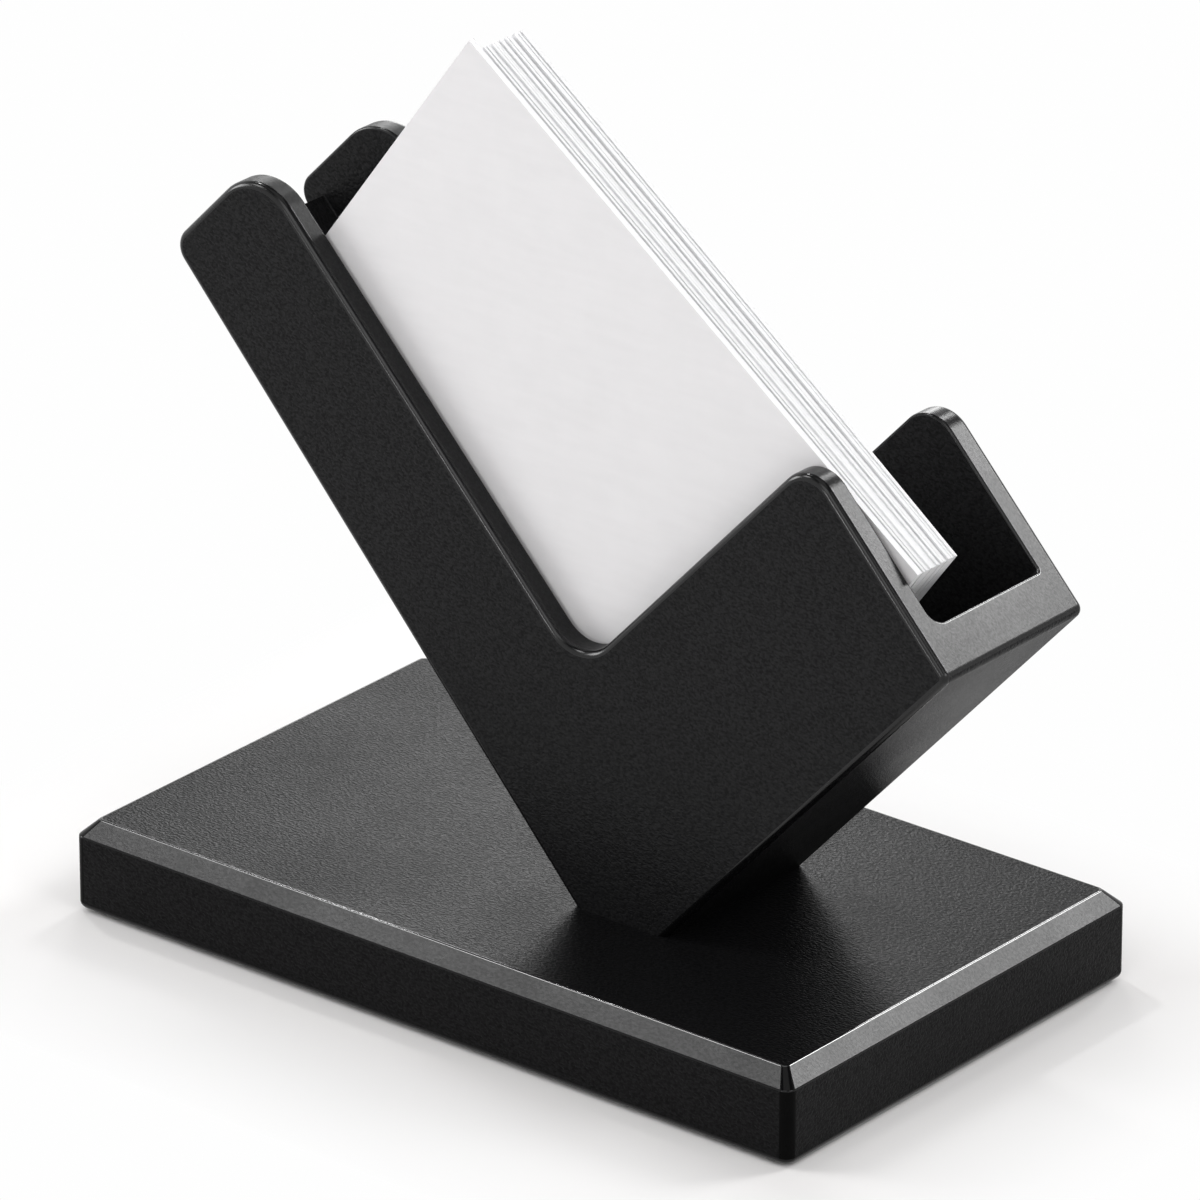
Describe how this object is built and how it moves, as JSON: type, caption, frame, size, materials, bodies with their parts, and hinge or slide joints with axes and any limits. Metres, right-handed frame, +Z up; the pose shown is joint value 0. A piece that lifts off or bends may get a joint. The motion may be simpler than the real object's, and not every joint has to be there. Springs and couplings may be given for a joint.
{
  "type": "business card holder stand",
  "caption": "Desktop business card stand: a flat chamfered base carries a slanted open pocket whose two L-shaped cheeks hold an upright deck of blank cards.",
  "frame": {"origin": "at desk level under the middle of the base, on the rubber pad's lower face", "axes": "+Z up, +X along the base towards the end that the pocket's open mouth overhangs, +Y from the near cheek to the far cheek"},
  "size_m": [0.1201, 0.067, 0.1198],
  "materials": {
    "base_plastic": "satin black moulded plastic with a fine grain",
    "pocket_plastic": "satin black moulded plastic with a fine leather-like grain",
    "steel_plate": "zinc-plated sheet",
    "pad_rubber": "matt foamed rubber",
    "screw_steel": "zinc-plated",
    "insert_brass": "turned",
    "front_card_stock": "uncoated blank card",
    "card_stock": "uncoated blank card"
  },
  "bodies": {
    "stand": {"base_shell": "base_plastic", "weight_plate": "steel_plate", "anti_slip_pad": "pad_rubber", "plate_screws": "screw_steel", "card_pocket": "pocket_plastic", "pocket_screws": "screw_steel", "pocket_inserts": "insert_brass"},
    "front_card": {"front_card": "front_card_stock"},
    "card_deck": {"deck_card_01": "card_stock", "deck_card_02": "card_stock", "deck_card_03": "card_stock", "deck_card_04": "card_stock", "deck_card_05": "card_stock", "deck_card_06": "card_stock", "deck_card_07": "card_stock", "deck_card_08": "card_stock", "deck_card_09": "card_stock", "deck_card_10": "card_stock", "deck_card_11": "card_stock", "deck_card_12": "card_stock", "deck_card_13": "card_stock", "deck_card_14": "card_stock", "deck_card_15": "card_stock", "deck_card_16": "card_stock"}
  },
  "joints": [
    {"name": "deck_lift", "type": "slide", "parent": "stand", "child": "card_deck", "axis": [0.5948, 0, 0.8039], "range_m": [0, 0.06]},
    {"name": "front_card_lift", "type": "slide", "parent": "stand", "child": "front_card", "axis": [0.5948, 0, 0.8039], "range_m": [0, 0.06]}
  ]
}
